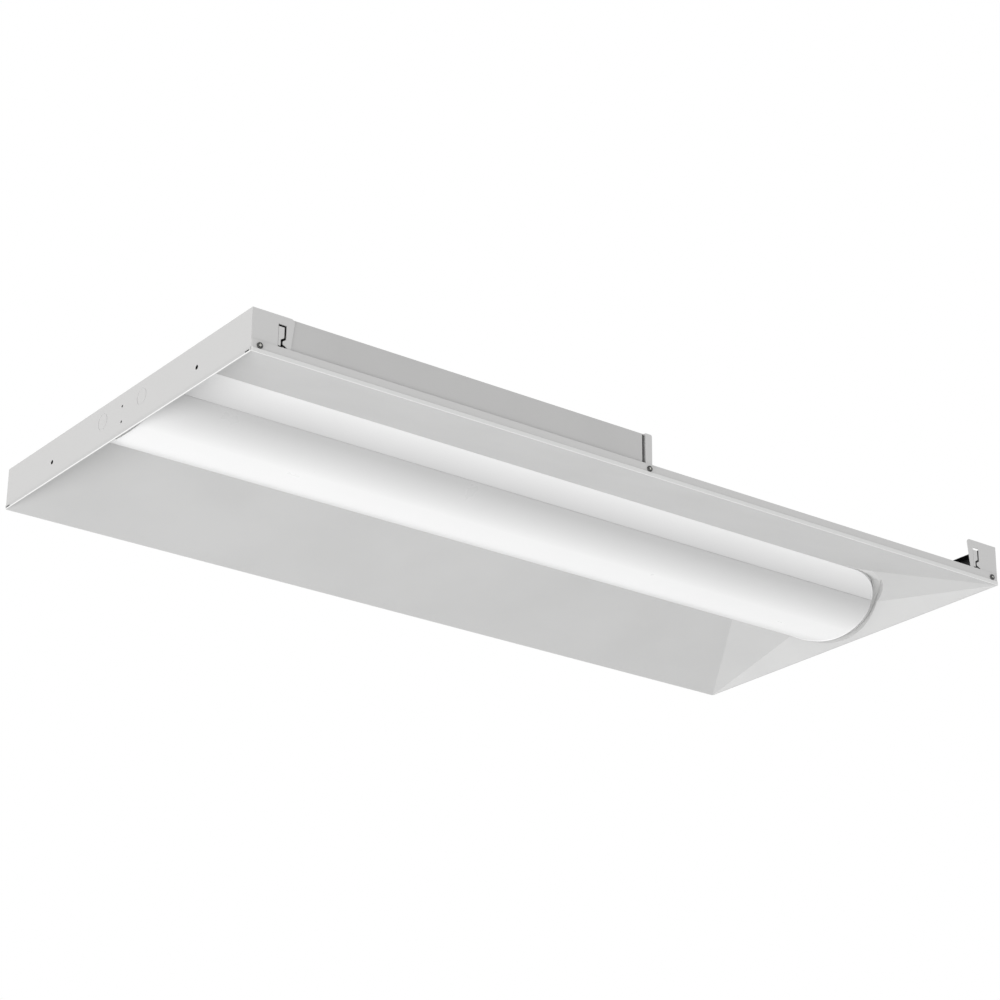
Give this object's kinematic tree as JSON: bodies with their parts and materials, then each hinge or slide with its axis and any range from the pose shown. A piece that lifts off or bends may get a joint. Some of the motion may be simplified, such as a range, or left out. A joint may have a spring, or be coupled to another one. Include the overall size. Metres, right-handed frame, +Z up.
{
  "type": "recessed troffer light",
  "caption": "White recessed ceiling troffer light with a long round-ended lens, faceted reflectors and bendable grid clips.",
  "frame": {"origin": "centre of the footprint at the bottom plane that the ceiling grid carries", "axes": "+Z up into the ceiling void; +X along the length; -Y the front long side; the half-length back cover is at the -X end"},
  "size_m": [1.213, 0.6058, 0.0593],
  "materials": {
    "reflector_paint": "matt white, baked on",
    "body_paint": "satin white, baked on",
    "lens_acrylic": "frosted",
    "cap_plastic": "matt white",
    "board_mask": "white solder mask",
    "led_phosphor": "yellow phosphor gel",
    "connector_plastic": "moulded",
    "driver_steel": "zinc coated",
    "terminal_plastic": "moulded",
    "zinc_screw": "zinc plated",
    "black_screw": "black coated"
  },
  "bodies": {
    "troffer": {"access_plate": "body_paint", "access_plate_screws": "zinc_screw", "board_connectors": "connector_plastic", "cover_screws": "zinc_screw", "driver_case": "driver_steel", "driver_screws": "zinc_screw", "driver_terminal": "terminal_plastic", "end_plate_left": "body_paint", "end_plate_right": "body_paint", "end_reflector_left": "reflector_paint", "end_reflector_right": "reflector_paint", "housing_cover": "body_paint", "led_board_front_left": "board_mask", "led_board_front_right": "board_mask", "led_board_rear_left": "board_mask", "led_board_rear_right": "board_mask", "led_packages_front_left": "led_phosphor", "led_packages_front_right": "led_phosphor", "led_packages_rear_left": "led_phosphor", "led_packages_rear_right": "led_phosphor", "lens": "lens_acrylic", "lens_end_cap_left": "cap_plastic", "lens_end_cap_right": "cap_plastic", "light_channel": "body_paint", "mid_bulkhead": "body_paint", "rail_screws": "black_screw", "side_reflector_front": "reflector_paint", "side_reflector_rear": "reflector_paint"},
    "grid_clip_front_left_tongue": {"grid_clip_front_left": "body_paint"},
    "grid_clip_front_right_tongue": {"grid_clip_front_right": "body_paint"},
    "grid_clip_rear_left_tongue": {"grid_clip_rear_left": "body_paint"},
    "grid_clip_rear_right_tongue": {"grid_clip_rear_right": "body_paint"}
  },
  "joints": [
    {"name": "grid_clip_front_left_bend", "type": "hinge", "parent": "troffer", "child": "grid_clip_front_left_tongue", "pos_m": [-0.57, -0.2999, 0.03], "axis": [0, 0, -1], "range_deg": [0, 90]},
    {"name": "grid_clip_front_right_bend", "type": "hinge", "parent": "troffer", "child": "grid_clip_front_right_tongue", "pos_m": [0.561, -0.2999, 0.03], "axis": [0, 0, -1], "range_deg": [0, 90]},
    {"name": "grid_clip_rear_left_bend", "type": "hinge", "parent": "troffer", "child": "grid_clip_rear_left_tongue", "pos_m": [-0.561, 0.2999, 0.03], "axis": [0, 0, -1], "range_deg": [0, 90]},
    {"name": "grid_clip_rear_right_bend", "type": "hinge", "parent": "troffer", "child": "grid_clip_rear_right_tongue", "pos_m": [0.57, 0.2999, 0.03], "axis": [0, 0, -1], "range_deg": [0, 90]}
  ]
}
